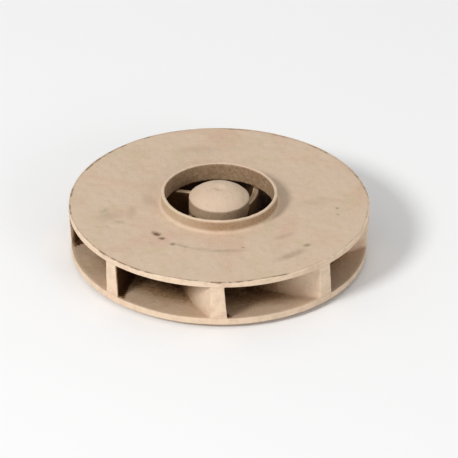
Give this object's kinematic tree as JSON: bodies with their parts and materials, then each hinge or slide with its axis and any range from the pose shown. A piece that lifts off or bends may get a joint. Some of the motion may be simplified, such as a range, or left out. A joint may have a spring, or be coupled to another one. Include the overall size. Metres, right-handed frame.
{
  "type": "closed radial pump impeller",
  "caption": "One-piece cast closed pump impeller with backward-curved vanes between flat shrouds, an eye collar and a domed hub tapped from the back.",
  "frame": {"origin": "centre of the machined hub face at the back, on the axis of rotation", "axes": "+Z along the axis of rotation, out of the eye towards the suction side; +X passes through the tip of one vane"},
  "size_m": [0.2, 0.2, 0.0492],
  "materials": {
    "cast_bronze": "matte blasted sand casting, a dull pale tan"
  },
  "bodies": {
    "root": {"impeller": "cast_bronze"}
  },
  "joints": []
}
